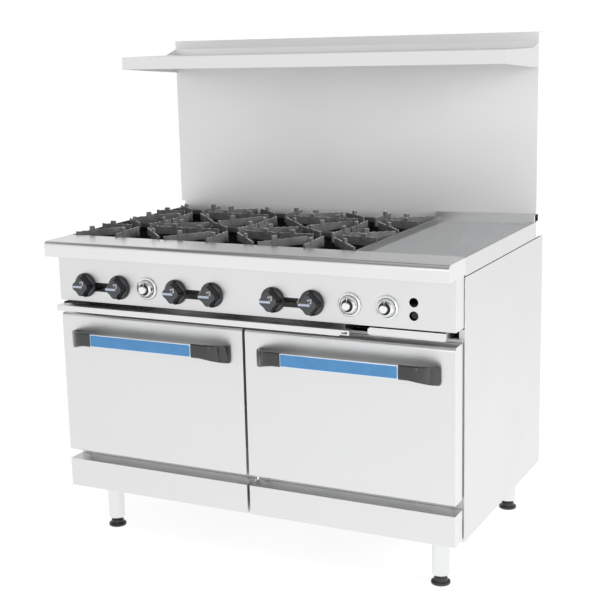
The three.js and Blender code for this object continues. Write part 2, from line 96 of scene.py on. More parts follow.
def _coords(nt, scale=(1, 1, 1), rot=(0, 0, 0)):
    tc = nt.nodes.new("ShaderNodeTexCoord")
    mp = nt.nodes.new("ShaderNodeMapping")
    mp.inputs["Scale"].default_value = scale
    mp.inputs["Rotation"].default_value = rot
    nt.links.new(tc.outputs["Object"], mp.inputs[0])
    return mp.outputs[0]


def _noise(nt, vec, scale, detail=3, rough=0.55, distort=0.0):
    n = nt.nodes.new("ShaderNodeTexNoise")
    n.inputs["Scale"].default_value = scale
    n.inputs["Detail"].default_value = detail
    n.inputs["Roughness"].default_value = rough
    n.inputs["Distortion"].default_value = distort
    nt.links.new(vec, n.inputs["Vector"])
    return n.outputs["Fac"]


def _range(nt, fac, a, b, lo=0.0, hi=1.0):
    r = nt.nodes.new("ShaderNodeMapRange")
    r.inputs["From Min"].default_value = lo
    r.inputs["From Max"].default_value = hi
    r.inputs["To Min"].default_value = a
    r.inputs["To Max"].default_value = b
    nt.links.new(fac, r.inputs["Value"])
    return r.outputs["Result"]


def _mix(nt, fac, a, b):
    m = nt.nodes.new("ShaderNodeMix")
    m.data_type = "RGBA"
    for sock, v in ((m.inputs[6], a), (m.inputs[7], b)):
        if isinstance(v, (tuple, list)):
            sock.default_value = (*v, 1) if len(v) == 3 else v
        else:
            nt.links.new(v, sock)
    if isinstance(fac, (int, float)):
        m.inputs[0].default_value = fac
    else:
        nt.links.new(fac, m.inputs[0])
    return m.outputs[2]


def _ramp(nt, fac, stops):
    r = nt.nodes.new("ShaderNodeValToRGB")
    while len(r.color_ramp.elements) < len(stops):
        r.color_ramp.elements.new(0.5)
    for e, (pos, c) in zip(r.color_ramp.elements, stops):
        e.position = pos
        e.color = (c, c, c, 1) if isinstance(c, (int, float)) else (*c, 1)
    nt.links.new(fac, r.inputs[0])
    return r.outputs[0]


def _bump(nt, p, height, strength, distance, prev=None):
    b = nt.nodes.new("ShaderNodeBump")
    b.inputs["Strength"].default_value = strength
    b.inputs["Distance"].default_value = distance
    nt.links.new(height, b.inputs["Height"])
    if prev is not None:
        nt.links.new(prev, b.inputs["Normal"])
    nt.links.new(b.outputs[0], p.inputs["Normal"])
    return b.outputs[0]


def steel(name, base=(0.79, 0.793, 0.797), rough=0.30, along="x", grain=1.0, smudge=0.03, metallic=1.0):
    """Brushed stainless: fine lines along one axis, with soft handling marks."""
    m, nt, p = _mat(name)
    fine = {"x": (6, 900, 900), "y": (900, 6, 900), "z": (900, 900, 6)}[along]
    wide = {"x": (1.2, 160, 160), "y": (160, 1.2, 160), "z": (160, 160, 1.2)}[along]
    g = _noise(nt, _coords(nt, fine), 1.0, 2, 0.6)
    w = _noise(nt, _coords(nt, wide), 1.0, 2, 0.5)
    s = _noise(nt, _coords(nt), 3.2, 4, 0.6, 0.4)
    add = nt.nodes.new("ShaderNodeMath")
    add.operation = "MULTIPLY_ADD"
    add.inputs[1].default_value = 0.35
    nt.links.new(w, add.inputs[0])
    nt.links.new(_range(nt, g, 0.0, 0.65), add.inputs[2])
    lines = add.outputs[0]
    dark = tuple(c * (1 - 0.055 * grain) for c in base)
    col = _mix(nt, lines, dark, base)
    col = _mix(nt, _range(nt, s, 0.0, smudge, 0.35, 0.75), col, tuple(c * 0.82 for c in base))
    nt.links.new(col, p.inputs["Base Color"])
    r = nt.nodes.new("ShaderNodeMath")
    r.operation = "ADD"
    nt.links.new(_range(nt, lines, rough - 0.05 * grain, rough + 0.05 * grain), r.inputs[0])
    nt.links.new(_range(nt, s, -0.02, 0.05, 0.3, 0.8), r.inputs[1])
    nt.links.new(r.outputs[0], p.inputs["Roughness"])
    p.inputs["Metallic"].default_value = metallic
    _bump(nt, p, lines, 0.10 * grain, 0.00006)
    return m


def galvanised(name):
    m, nt, p = _mat(name)
    vec = _coords(nt)
    v = nt.nodes.new("ShaderNodeTexVoronoi")
    v.inputs["Scale"].default_value = 90
    nt.links.new(vec, v.inputs["Vector"])
    sep = nt.nodes.new("ShaderNodeSeparateColor")
    nt.links.new(v.outputs["Color"], sep.inputs[0])
    n = _noise(nt, vec, 6, 4)
    col = _mix(nt, sep.outputs[0], (0.50, 0.52, 0.53), (0.66, 0.68, 0.69))
    col = _mix(nt, _range(nt, n, 0, 0.35, 0.4, 0.8), col, (0.42, 0.43, 0.44))
    nt.links.new(col, p.inputs["Base Color"])
    nt.links.new(_range(nt, sep.outputs[1], 0.34, 0.56), p.inputs["Roughness"])
    p.inputs["Metallic"].default_value = 0.9
    _bump(nt, p, sep.outputs[2], 0.06, 0.0001)
    return m


def cast_iron(name, dark=(0.055, 0.057, 0.060), light=(0.13, 0.132, 0.135), rough=0.62, scale=1.0):
    """Sand-cast iron, seasoned: pitted skin, paler where it has been rubbed."""
    m, nt, p = _mat(name)
    vec = _coords(nt)
    pits = _noise(nt, vec, 900 * scale, 4, 0.7)
    skin = _noise(nt, vec, 190 * scale, 5, 0.65)
    cloud = _noise(nt, vec, 16 * scale, 5, 0.6, 0.6)
    col = _mix(nt, _range(nt, cloud, 0, 1, 0.3, 0.7), dark, light)
    col = _mix(nt, _range(nt, pits, 0.0, 0.6, 0.52, 0.75), col, tuple(c * 0.55 for c in dark))
    nt.links.new(col, p.inputs["Base Color"])
    nt.links.new(_range(nt, skin, rough - 0.14, rough + 0.14, 0.3, 0.7), p.inputs["Roughness"])
    p.inputs["Metallic"].default_value = 0.12
    p.inputs["Specular IOR Level"].default_value = 0.35
    b = _bump(nt, p, skin, 0.55, 0.0006)
    _bump(nt, p, pits, 0.45, 0.00025, b)
    return m


def plate_steel(name):
    """Ground griddle plate: concentric grinding sweep, faint heat tint and oil streaks."""
    m, nt, p = _mat(name)
    vec = _coords(nt)
    fine = _noise(nt, _coords(nt, (40, 1300, 400)), 1.0, 2)
    swirl = _noise(nt, _coords(nt, (1, 1, 1)), 7, 5, 0.6, 1.5)
    col = _mix(nt, _range(nt, swirl, 0, 1, 0.3, 0.7), (0.50, 0.51, 0.52), (0.64, 0.645, 0.65))
    tint = _noise(nt, vec, 3.1, 3)
    col = _mix(nt, _range(nt, tint, 0, 0.35, 0.5, 0.8), col, (0.50, 0.47, 0.42))
    nt.links.new(col, p.inputs["Base Color"])
    nt.links.new(_range(nt, swirl, 0.24, 0.42, 0.3, 0.7), p.inputs["Roughness"])
    p.inputs["Metallic"].default_value = 1.0
    _bump(nt, p, fine, 0.12, 0.00008)
    return m


def enamel(name, base=(0.022, 0.024, 0.028), fleck=0.35, rough=0.22):
    """Vitreous enamel with pale flecks and orange peel."""
    m, nt, p = _mat(name)
    vec = _coords(nt)
    n = _noise(nt, vec, 900, 2)
    big = _noise(nt, vec, 5, 4)
    col = _mix(nt, _range(nt, n, 0, fleck, 0.66, 0.72), base, (0.55, 0.56, 0.58))
    col = _mix(nt, _range(nt, big, 0, 0.5, 0.45, 0.8), col, tuple(c * 1.8 for c in base))
    nt.links.new(col, p.inputs["Base Color"])
    nt.links.new(_range(nt, big, rough - 0.05, rough + 0.15), p.inputs["Roughness"])
    p.inputs["Coat Weight"].default_value = 0.3
    p.inputs["Coat Roughness"].default_value = 0.12
    _bump(nt, p, _noise(nt, vec, 160, 2), 0.12, 0.0003)
    return m


def painted(name, base, rough=0.4, wear=0.25, coat=0.0, peel=0.1, metallic=0.0):
    m, nt, p = _mat(name)
    vec = _coords(nt)
    big = _noise(nt, vec, 9, 5, 0.6)
    fine = _noise(nt, vec, 420, 3, 0.6)
    col = _mix(nt, _range(nt, big, 0, wear, 0.4, 0.8), base, tuple(min(1, c * 1.55 + 0.01) for c in base))
    nt.links.new(col, p.inputs["Base Color"])
    nt.links.new(_range(nt, fine, rough - 0.06, rough + 0.08), p.inputs["Roughness"])
    p.inputs["Metallic"].default_value = metallic
    if coat:
        p.inputs["Coat Weight"].default_value = coat
        p.inputs["Coat Roughness"].default_value = 0.08
    _bump(nt, p, fine, peel, 0.0002)
    return m


def plastic(name, base, rough=0.42, texture=700, bump=0.18, spec=0.5):
    """Moulded plastic: fine spark-eroded texture and slight mottling."""
    m, nt, p = _mat(name)
    vec = _coords(nt)
    fine = _noise(nt, vec, texture, 3, 0.6)
    big = _noise(nt, vec, 22, 4, 0.55)
    col = _mix(nt, _range(nt, big, 0, 0.5, 0.35, 0.75), base, tuple(min(1, c * 1.25 + 0.006) for c in base))
    nt.links.new(col, p.inputs["Base Color"])
    nt.links.new(_range(nt, fine, rough - 0.07, rough + 0.09), p.inputs["Roughness"])
    p.inputs["Specular IOR Level"].default_value = spec
    _bump(nt, p, fine, bump, 0.00018)
    return m


def metal(name, base, rough=0.1, var=0.06, bump=0.03, scale=60, metallic=1.0):
    m, nt, p = _mat(name)
    vec = _coords(nt)
    n = _noise(nt, vec, scale, 4, 0.6)
    f = _noise(nt, vec, scale * 14, 2, 0.6)
    col = _mix(nt, _range(nt, n, 0, 1, 0.3, 0.75), base, tuple(c * (1 - var) for c in base))
    nt.links.new(col, p.inputs["Base Color"])
    nt.links.new(_range(nt, n, max(0.02, rough - var * 0.5), rough + var), p.inputs["Roughness"])
    p.inputs["Metallic"].default_value = metallic
    _bump(nt, p, f, bump, 0.00006)
    return m


M = {
    "front": steel("stainless_front", base=(0.765, 0.768, 0.772), rough=0.34, along="x", metallic=0.92),
    "side": steel("stainless_side", base=(0.765, 0.768, 0.772), rough=0.32, along="z"),
    "riser": steel("stainless_riser", base=(0.785, 0.788, 0.792), rough=0.46, along="x", metallic=0.62),
    "ledge": steel("stainless_ledge", base=(0.82, 0.823, 0.827), rough=0.30, along="x", metallic=0.96),
    "shelf": steel("stainless_shelf", rough=0.30, along="x"),
    "leg": steel("stainless_leg", base=(0.80, 0.805, 0.81), rough=0.24, along="z", grain=0.6),
    "tray": steel("stainless_tray", rough=0.28, along="x"),
    "galv": galvanised("galvanised_sheet"),
    "grate": cast_iron("cast_iron_grate", (0.070, 0.071, 0.073), (0.150, 0.152, 0.155), 0.60),
    # a much paler copy of the iron for the bar tops: a painted highlight
    "grate_top_painted_highlight": cast_iron("cast_iron_painted_highlight", (0.36, 0.362, 0.365), (0.66, 0.663, 0.667), 0.50),
    "burner": cast_iron("cast_iron_burner", (0.03, 0.031, 0.033), (0.075, 0.075, 0.077), 0.7, 1.2),
    "plate": plate_steel("griddle_ground_steel"),
    "enamel": enamel("black_enamel"),
    "black": painted("black_painted_sheet", (0.018, 0.018, 0.020), 0.45, 0.4),
    "pipe": painted("grey_steel_pipe", (0.10, 0.102, 0.105), 0.42, 0.5, metallic=0.6),
    "foot": painted("black_foot", (0.02, 0.02, 0.022), 0.38, 0.5),
    "cap": painted("gloss_black_cap", (0.014, 0.0145, 0.0155), 0.26, 0.2, coat=0.5, peel=0.03),
    "knob": plastic("knob_phenolic", (0.046, 0.050, 0.055), 0.34, 500, 0.12),
    # a lighter grey for the thin ring at the rear ring's edge: a painted highlight arc
    "knob_painted_highlight_arc": plastic("knob_ring_painted_highlight", (0.10, 0.102, 0.105), 0.3, 500, 0.08),
    # pale grey for the chevron stands in for light catching it: a painted highlight
    "knob_painted_highlight_chevron": plastic("knob_chevron_painted_highlight", (0.34, 0.345, 0.355), 0.30, 500, 0.08),
    # near-black: the rear ring and igniter button, and painted shade on the knob grip sides and inside the chevron
    "knob_black_and_painted_shade": plastic("knob_rear_ring_and_painted_shade", (0.006, 0.006, 0.007), 0.24, 500, 0.06, 0.4),
    "band": plastic("knob_pale_line", (0.42, 0.47, 0.56), 0.35, 900, 0.05),
    "insert": plastic("blue_insert", (0.070, 0.232, 0.465), 0.42, 800, 0.06, 0.35),
    "trim": plastic("pale_trim", (0.72, 0.80, 0.90), 0.35, 800, 0.05),
    "chrome": metal("bright_chrome", (0.86, 0.865, 0.87), 0.05, 0.05, 0.01),
    # near-black stands in for shade in the dial grooves and gaps: painted shadow
    "shadow": painted("painted_shadow_recess", (0.010, 0.010, 0.011), 0.5, 0.2),
    "wire": metal("plated_wire", (0.74, 0.745, 0.75), 0.18, 0.1, 0.05),
    "zinc": metal("zinc_plate", (0.70, 0.705, 0.70), 0.26, 0.12, 0.06),
    "brass": metal("brass", (0.52, 0.37, 0.15), 0.3, 0.3, 0.06),
    "seal": plastic("black_seal", (0.015, 0.015, 0.016), 0.7, 300, 0.4),
    "ceramic": plastic("white_ceramic", (0.80, 0.79, 0.76), 0.3, 300, 0.05),
}


# ------------------------------------------------------------------ mesh tools
def flat_regions(bm, width):
    """For each face, whether it lies in a flat region wider than the given width."""
    bm.faces.ensure_lookup_table()
    bm.faces.index_update()
    group = [-1] * len(bm.faces)
    wide = []
    area_of = [f.calc_area() for f in bm.faces]
    thin = [a < 0.02 * sum(e.calc_length() for e in f.edges) * width / 5 for a, f in zip(area_of, bm.faces)]
    for start in sorted(bm.faces, key=lambda f: -area_of[f.index]):
        if group[start.index] >= 0:
            continue
        g = len(wide)
        group[start.index] = g
        todo, members = [start], []
        while todo:
            f = todo.pop()
            members.append(f)
            for e in f.edges:
                for o in e.link_faces:
                    if group[o.index] < 0 and (start.normal.dot(o.normal) > 0.9996 or thin[o.index]):
                        group[o.index] = g
                        todo.append(o)
        area = sum(area_of[f.index] for f in members)
        rim = sum(e.calc_length() for f in members for e in f.edges if sum(group[o.index] == g for o in e.link_faces) < 2)
        wide.append(rim > 0 and 2 * area / rim > width)
    return [wide[g] for g in group]


def obj(name, bm, mat, body, replaces=(), smooth=38, scale=MM, flat=5.0):
    """A finished piece from a bmesh in millimetres."""
    if scale != 1:
        bmesh.ops.scale(bm, vec=(scale,) * 3, verts=bm.verts)
    bmesh.ops.recalc_face_normals(bm, faces=bm.faces)
    for f in bm.faces:
        f.normal_update()
    # wide flat faces keep their own normal; narrow facets of curves are shaded smooth
    wide = flat_regions(bm, flat * MM) if flat else [False] * len(bm.faces)
    me = bpy.data.meshes.new(name)
    bm.to_mesh(me)
    bm.free()
    old = me.attributes.get("custom_normal")
    if old:
        me.attributes.remove(old)
    me.set_sharp_from_angle(angle=math.radians(smooth))
    for f, w in zip(me.polygons, wide):
        f.use_smooth = not w
    for m in mat if isinstance(mat, (list, tuple)) else [mat]:
        me.materials.append(m)
    o = bpy.data.objects.new(name, me)
    bpy.context.scene.collection.objects.link(o)
    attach(o, body)
    if replaces:
        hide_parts(*replaces)
    return o


def bevel(bm, width, seg=2, angle=30, edges=None, profile=0.5):
    if edges is None:
        edges = [e for e in bm.edges if len(e.link_faces) == 2 and e.calc_face_angle(0) > math.radians(angle)]
    if edges:
        bmesh.ops.bevel(bm, geom=edges, offset=width, offset_type="OFFSET", segments=seg, profile=profile, affect="EDGES", clamp_overlap=True)


def add_box(bm, x0, x1, y0, y1, z0, z1, bev=0.0, seg=2, mat=0):
    made = bmesh.ops.create_cube(bm, size=1, matrix=Matrix.Translation(((x0 + x1) / 2, (y0 + y1) / 2, (z0 + z1) / 2)) @ Matrix.Diagonal((x1 - x0, y1 - y0, z1 - z0, 1)))
    vs = made["verts"]
    es = {e for v in vs for e in v.link_edges}
    fs = {f for v in vs for f in v.link_faces}
    for f in fs:
        f.material_index = mat
    if bev:
        out = bmesh.ops.bevel(bm, geom=list(es), offset=bev, offset_type="OFFSET", segments=seg, profile=0.5, affect="EDGES", clamp_overlap=True)
        for f in out["faces"]:
            f.material_index = mat
    return vs


def add_loft(bm, rings, closed=False, caps=True, mat=0):
    """Faces between rings of points; each ring is a closed loop."""
    vr = [[bm.verts.new(p) for p in r] for r in rings]
    n = len(vr[0])
    pairs = list(zip(vr, vr[1:])) + ([(vr[-1], vr[0])] if closed else [])
    for a, b in pairs:
        for i in range(n):
            f = bm.faces.new((a[i], a[(i + 1) % n], b[(i + 1) % n], b[i]))
            f.material_index = mat
    if caps and not closed:
        for r in (vr[0][::-1], vr[-1]):
            f = bm.faces.new(r)
            f.material_index = mat
    return vr


def add_lathe(bm, profile, seg=48, origin=(0, 0, 0), axis="z", mat=0, phase=0.0):
    """Profile [(r, h)...] turned about an axis through origin; ends on the axis are closed by a fan."""
    o = Vector(origin)
    def pt(r, h, a):
        c, s = r * math.cos(a), r * math.sin(a)
        return o + Vector({"z": (c, s, h), "-y": (c, -h, s), "x": (h, c, s), "y": (c, h, s)}[axis])
    rings = []
    for r, h in profile:
        if r < 1e-6:
            rings.append([bm.verts.new(pt(0, h, 0))])
        else:
            rings.append([bm.verts.new(pt(r, h, 2 * math.pi * i / seg + phase)) for i in range(seg)])
    faces = []
    for a, b in zip(rings, rings[1:]):
        if len(a) == 1 and len(b) == 1:
            continue
        for i in range(seg):
            j = (i + 1) % seg
            vs = [a[0], b[j], b[i]] if len(a) == 1 else [a[i], a[j], b[0]] if len(b) == 1 else [a[i], a[j], b[j], b[i]]
            f = bm.faces.new(vs)
            f.material_index = mat
            faces.append(f)
    return faces


def add_prism(bm, outline, plane, d0, d1, bev=0.0, seg=2, mat=0):
    """Outline of (u, v) points run between d0 and d1 along the third axis; plane is 'xz', 'xy' or 'yz'."""
    def pt(u, v, d):
        return {"xz": (u, d, v), "xy": (u, v, d), "yz": (d, u, v)}[plane]
    a = [bm.verts.new(pt(u, v, d0)) for u, v in outline]
    b = [bm.verts.new(pt(u, v, d1)) for u, v in outline]
    fs = [bm.faces.new(a), bm.faces.new(b[::-1])]
    n = len(outline)
    for i in range(n):
        fs.append(bm.faces.new((a[i], b[i], b[(i + 1) % n], a[(i + 1) % n])))
    for f in fs:
        f.material_index = mat
    if bev:
        es = [e for f in fs[:2] for e in f.edges]
        out = bmesh.ops.bevel(bm, geom=es, offset=bev, offset_type="OFFSET", segments=seg, profile=0.5, affect="EDGES", clamp_overlap=True)
        for f in out["faces"]:
            f.material_index = mat
    return fs


def add_tube(bm, path, r, seg=20, mat=0, caps=True):
    """Round tube along a list of points; r is one radius or one per point."""
    pts = [Vector(p) for p in path]
    rs = r if isinstance(r, (list, tuple)) else [r] * len(pts)
    t0 = (pts[1] - pts[0]).normalized()
    up = Vector((0, 0, 1)) if abs(t0.z) < 0.9 else Vector((1, 0, 0))
    u = t0.cross(up).normalized()
    rings = []
    for i, p in enumerate(pts):
        t = ((pts[min(i + 1, len(pts) - 1)] - p).normalized() + (p - pts[max(i - 1, 0)]).normalized()).normalized()
        u = (u - t * u.dot(t)).normalized()
        w = t.cross(u)
        rings.append([p + (u * math.cos(2 * math.pi * k / seg) + w * math.sin(2 * math.pi * k / seg)) * rs[i] for k in range(seg)])
    add_loft(bm, rings, caps=caps, mat=mat)


def smooth_path(points, n=8):
    """Catmull-Rom through the points."""
    P = [Vector(p) for p in points]
    P = [P[0] * 2 - P[1]] + P + [P[-1] * 2 - P[-2]]
    out = []
    for i in range(1, len(P) - 2):
        a, b, c, d = P[i - 1], P[i], P[i + 1], P[i + 2]
        for k in range(n):
            t = k / n
            out.append(0.5 * ((2 * b) + (c - a) * t + (2 * a - 5 * b + 4 * c - d) * t * t + (3 * b - a - 3 * c + d) * t ** 3))
    out.append(P[-2])
    return out


def refine(node, mat, width=0.6, seg=2, angle=28, smooth=36, rule=None, flat=5.0):
    """The node's own solid with its sharp edges broken, as a new piece that stands for it."""
    bm = bmesh.new()
    bm.from_mesh(NODES[node].data)
    bmesh.ops.scale(bm, vec=(1000,) * 3, verts=bm.verts)
    bmesh.ops.remove_doubles(bm, verts=bm.verts, dist=0.02)
    if width:
        bevel(bm, width, seg, angle)
    if rule:
        for f in bm.faces:
            f.normal_update()
            f.material_index = rule(f.calc_center_median(), f.normal)
    return obj(node + "_finished", bm, mat, BODY_OF[node], (node,), smooth, flat=flat)


# ------------------------------------------------------------------ sheet metal
for side in ("left", "right"):
    refine(f"side_panel_{side}", M["side"], 0.5)
    refine(f"kick_plate_{side}", M["front"], 0.6)
    # the front landing of the liner is bare steel, the cavity is enamelled
    refine(f"oven_liner_{side}", [M["enamel"], M["front"]], 0.5, rule=lambda c, n: 1 if c.y < -294.5 else 0)
    refine(f"door_shell_{side}", M["front"], 0.5)
    refine(f"door_liner_{side}", M["enamel"], 0.5)
    refine(f"hinge_rod_{side}", M["zinc"], 0.5)
refine("back_panel", M["galv"], 0.4)
refine("base_frame", M["galv"], 0.6)
refine("top_ledge", M["ledge"], 0.4)
refine("control_panel", M["front"], 0.5)
refine("cooktop_frame", [M["black"], M["side"]], 0.4, rule=lambda c, n: 1 if abs(c.x) > 606 and c.z > 855 else 0)
top = mm("griddle_plate")[1].z
refine("griddle_plate", [M["plate"], M["side"]], 0.6, rule=lambda c, n: 1 if abs(n.z) < 0.6 or c.z > top - 6 else 0)
refine("riser_panel", M["riser"], 0.6)
refine("high_shelf", M["shelf"], 0.6)
refine("crumb_tray", M["tray"], 0.4)
refine("grease_drawer", M["tray"], 0.4)
refine("gas_manifold", M["pipe"], 0.8, smooth=50, flat=None)
refine("griddle_burner", M["pipe"], 0.8, smooth=50, flat=None)
refine("oven_burner_line", M["pipe"], 0.8, smooth=50, flat=None)


# ------------------------------------------------------------------ burner knobs
def knob(i):
    node = f"burner_knob_{i}"
    lo, hi = mm(node)
    cx, cz = (lo.x + hi.x) / 2, (lo.z + hi.z) / 2
    cx = round(cx)
    y0 = hi.y                      # back face
    cz = hi.z - 35.0
    cx = {1: -515, 2: -399, 3: -210, 4: -94, 5: 94, 6: 210}[i]
    bm = bmesh.new()
    # rear ring and ribbed skirt
    add_lathe(bm, [(0, 0), (34.0, 0), (34.9, 0.8), (34.9, 3.4), (34.2, 4.0), (31.5, 4.2), (0, 4.2)], 64, (cx, y0, cz), "-y", 1)
    rings = []
    seg = 96
    for r, h, rib in ((31.8, 3.4, 0), (32.6, 4.2, 0.55), (32.2, 8.4, 0.55), (30.4, 10.2, 0.35), (27.5, 11.2, 0), (12, 11.4, 0)):
        ring = []
        for k in range(seg):
            a = 2 * math.pi * k / seg
            rr = r - (rib if k % 4 in (1, 2) else 0)
            ring.append((cx + rr * math.cos(a), y0 - h, cz + rr * math.sin(a)))
        rings.append(ring)
    add_loft(bm, rings, mat=0)
    # four-lobed grip, tapering a little to the front, with a soft front edge
    def lobe(a, k=1.0, off=0.0):
        r = 24.6 + 3.1 * math.cos(4 * (a - math.radians(3)))
        r += 1.2 * math.exp(-((((a - math.radians(50) + math.pi) % (2 * math.pi)) - math.pi) / 0.22) ** 2)
        return r * k + off
    n = 96
    rings = []
    depth = y0 - lo.y
    for h, k, off in ((9.5, 1.22, 0.4), (13.0, 1.13, 0.2), (19.0, 1.06, 0.1), (depth - 2.4, 1.0, 0.0), (depth - 1.2, 1.0, -0.5), (depth - 0.35, 1.0, -1.4), (depth, 1.0, -2.8)):
        rings.append([(cx + lobe(2 * math.pi * j / n, k, off) * math.cos(2 * math.pi * j / n) * 0.95, y0 - h, cz + lobe(2 * math.pi * j / n, k, off) * math.sin(2 * math.pi * j / n)) for j in range(n)])
    # the grip's side walls take the near-black material as painted shade; the front rings keep the knob grey
    add_loft(bm, rings[:-2], mat=1)
    add_loft(bm, rings[-3:], mat=0)
    # thin paler ring at the rear ring's edge: a painted highlight arc
    add_lathe(bm, [(33.2, 4.1), (34.2, 4.1), (34.2, 4.6), (33.2, 4.6), (33.2, 4.1)], 64, (cx, y0, cz), "-y", 4)
    # front face: raised chevron pointer at the upper right, coloured pale grey as a painted highlight, and the pale
    # line across
    a = math.radians(50)
    d = Vector((math.cos(a), 0, math.sin(a)))
    t = Vector((-math.sin(a), 0, math.cos(a)))
    c = Vector((cx, lo.y, cz))
    tip = c + d * 22.5
    q = [tip, c + d * 11.5 + t * 8.8, c + d * 8.0, c + d * 11.5 - t * 8.8]
    a_ = [bm.verts.new(p + Vector((0, 0.6, 0))) for p in q]
    b_ = [bm.verts.new(p + Vector((0, -0.45, 0)) - d * 0.3) for p in q]
    for vs in [(a_[3], a_[2], a_[1], a_[0]), tuple(b_)] + [(a_[k], a_[(k + 1) % 4], b_[(k + 1) % 4], b_[k]) for k in range(4)]:
        bm.faces.new(vs).material_index = 3
    add_box(bm, cx - 25.5, cx + 8.5, lo.y - 0.3, lo.y + 1.0, cz - 3.8, cz + 2.4, 0.25, 1, 2)
    for f in bm.faces:
        f.normal_update()
    # painted shade: a near-black field inside the chevron
    q = [c + d * 15.5, c + d * 11.0 + t * 3.4, c + d * 8.4, c + d * 11.0 - t * 3.4]
    a_ = [bm.verts.new(p + Vector((0, 0.5, 0))) for p in q]
    b_ = [bm.verts.new(p + Vector((0, -0.55, 0))) for p in q]
    for vs in [(a_[3], a_[2], a_[1], a_[0]), tuple(b_)] + [(a_[k], a_[(k + 1) % 4], b_[(k + 1) % 4], b_[k]) for k in range(4)]:
        bm.faces.new(vs).material_index = 1
    obj(f"knob_{i}_moulding", bm, [M["knob"], M["knob_black_and_painted_shade"], M["band"], M["knob_painted_highlight_chevron"], M["knob_painted_highlight_arc"]], f"knob_{i}", (node,), 32)


for i in range(1, 7):
    knob(i)


# ------------------------------------------------------------------ chrome dials
for node, cx in (("oven_dial_left", -305), ("oven_dial_right", 318), ("griddle_dial", 422)):
    lo, hi = mm(node)
    cz, y0 = hi.z - 32.5, hi.y
    bm = bmesh.new()
    add_lathe(bm, [(0, 5.0), (23.6, 5.0), (24.6, 5.6), (24.8, 6.6), (24.4, 7.6), (24.2, 9.5), (23.6, 12.2), (22.2, 14.8), (20.0, 16.8), (17.6, 18.0), (17.2, 18.2), (16.8, 17.7), (16.4, 17.2), (15.8, 15.5), (14.0, 14.8),
                   (12.2, 14.8), (11.8, 14.8), (11.2, 15.2), (10.8, 16.2), (10.6, 25.2), (10.2, 26.6), (9.2, 27.2), (8.0, 27.38), (0, 27.4)], 72, (cx, y0, cz), "-y", 0)
    # index mark: a small raised rib on the cone
    add_box(bm, cx - 0.9, cx + 0.9, y0 - 18.6, y0 - 13.2, cz + 12.0, cz + 22.0, 0.4, 2, 0)
    # near-black ring in the groove between hub and cone: painted shadow
    add_lathe(bm, [(11.0, 14.9), (16.2, 14.9), (16.2, 15.8), (11.0, 15.8), (11.0, 14.9)], 48, (cx, y0, cz), "-y", 1)
    obj(node + "_cap", bm, [M["chrome"], M["shadow"]], node, (node,), 30)
    bm = bmesh.new()
    # near-black disc behind the cap, showing in the gap to the bezel ring: painted shadow
    add_lathe(bm, [(0, 0.35), (25.8, 0.35), (25.8, 1.2), (0, 1.2)], 48, (cx, y0, cz), "-y", 1)
    add_lathe(bm, [(25.6, 0.3), (32.0, 0.3), (32.5, 0.9), (32.4, 2.2), (31.6, 3.4), (30.0, 4.2), (28.6, 4.4), (28.0, 3.8), (27.4, 3.8), (27.0, 4.6), (26.2, 4.8), (25.7, 4.4), (25.6, 0.3)], 72, (cx, y0, cz), "-y", 0)
    obj(node + "_bezel", bm, [M["chrome"], M["shadow"]], "root_frame", (), 30)

# ------------------------------------------------------------------ door handles
for side in ("left", "right"):
    node = f"door_handle_{side}"
    lo, hi = mm(node)
    cx = (lo.x + hi.x) / 2
    half = (hi.x - lo.x) / 2
    yf, yb = lo.y, hi.y
    body = f"door_{side}"
    # end caps: a rounded section that sweeps back and flares towards the door
    def section(y_front, y_back, z0, z1, x, tilt, n=28, p=4.5):
        """Super-ellipse ring in the plane across the sweep."""
        ring = []
        cyy, czz = (y_front + y_back) / 2, (z0 + z1) / 2
        a, b = (y_back - y_front) / 2, (z1 - z0) / 2
        for k in range(n):
            t = 2 * math.pi * k / n
            c, s = math.cos(t), math.sin(t)
            u = math.copysign(abs(c) ** (2 / p), c) * a
            v = math.copysign(abs(s) ** (2 / p), s) * b
            ring.append((x + u * math.sin(tilt), cyy + u * math.cos(tilt), czz + v))
        return ring
    bm = bmesh.new()
    for s in (-1, 1):
        rings = []
        N = 22
        for k in range(N + 1):
            u = k / N
            # centre line: straight bar, then a round sweep to the door face
            ang = max(0.0, (u - 0.28) / 0.72)
            e = ang ** 1.35
            th = e * math.radians(80)
            X = 168 + (half - 168 - 9.5) * (u if u < 0.28 else 0.28 + 0.72 * math.sin(ang * math.pi / 2) ** 1.0)
            drop = (yb - yf - 15) * (1 - math.cos(ang * math.pi / 2)) ** 1.12
            thick = 13.0 + 5.0 * ang
            y_f = yf + 0.6 + drop
            z_lo = 607.5 - 19.5 * ang ** 1.2
            z_hi = 646.6 - 6.5 * ang ** 1.5
            rings.append(section(y_f, y_f + thick, z_lo, z_hi, cx + s * X, s * th * 0.9))
        # mounting pad against the door
        x_end = half - 9.5
        rings.append(section(yb - 6, yb - 0.2, 587.6, 640.2, cx + s * (x_end + 1.0), s * 0.1))
        add_loft(bm, rings, mat=0)
    add_prism(bm, [(yf + 4.6, 611.8), (yf + 5.4, 611), (yf + 9.2, 611), (yf + 10, 611.8), (yf + 10, 640.2), (yf + 9.2, 641), (yf + 5.4, 641), (yf + 4.6, 640.2)], "yz", cx - 172, cx + 172, 0.5, 2, 0)
    obj(f"door_handle_{side}_grip", bm, M["cap"], body, (node,), 40)
    # blue insert with a pale edge all round
    node = f"handle_insert_{side}"
    lo, hi = mm(node)
    bm = bmesh.new()
    add_box(bm, lo.x, hi.x, lo.y + 0.9, hi.y, lo.z, hi.z, 0.8, 3, 1)
    add_box(bm, lo.x + 2.0, hi.x - 2.0, lo.y, lo.y + 2.0, lo.z + 2.0, hi.z - 2.0, 0.5, 3, 0)
    obj(f"handle_insert_{side}_strip", bm, [M["insert"], M["trim"]], body, (node,), 35)

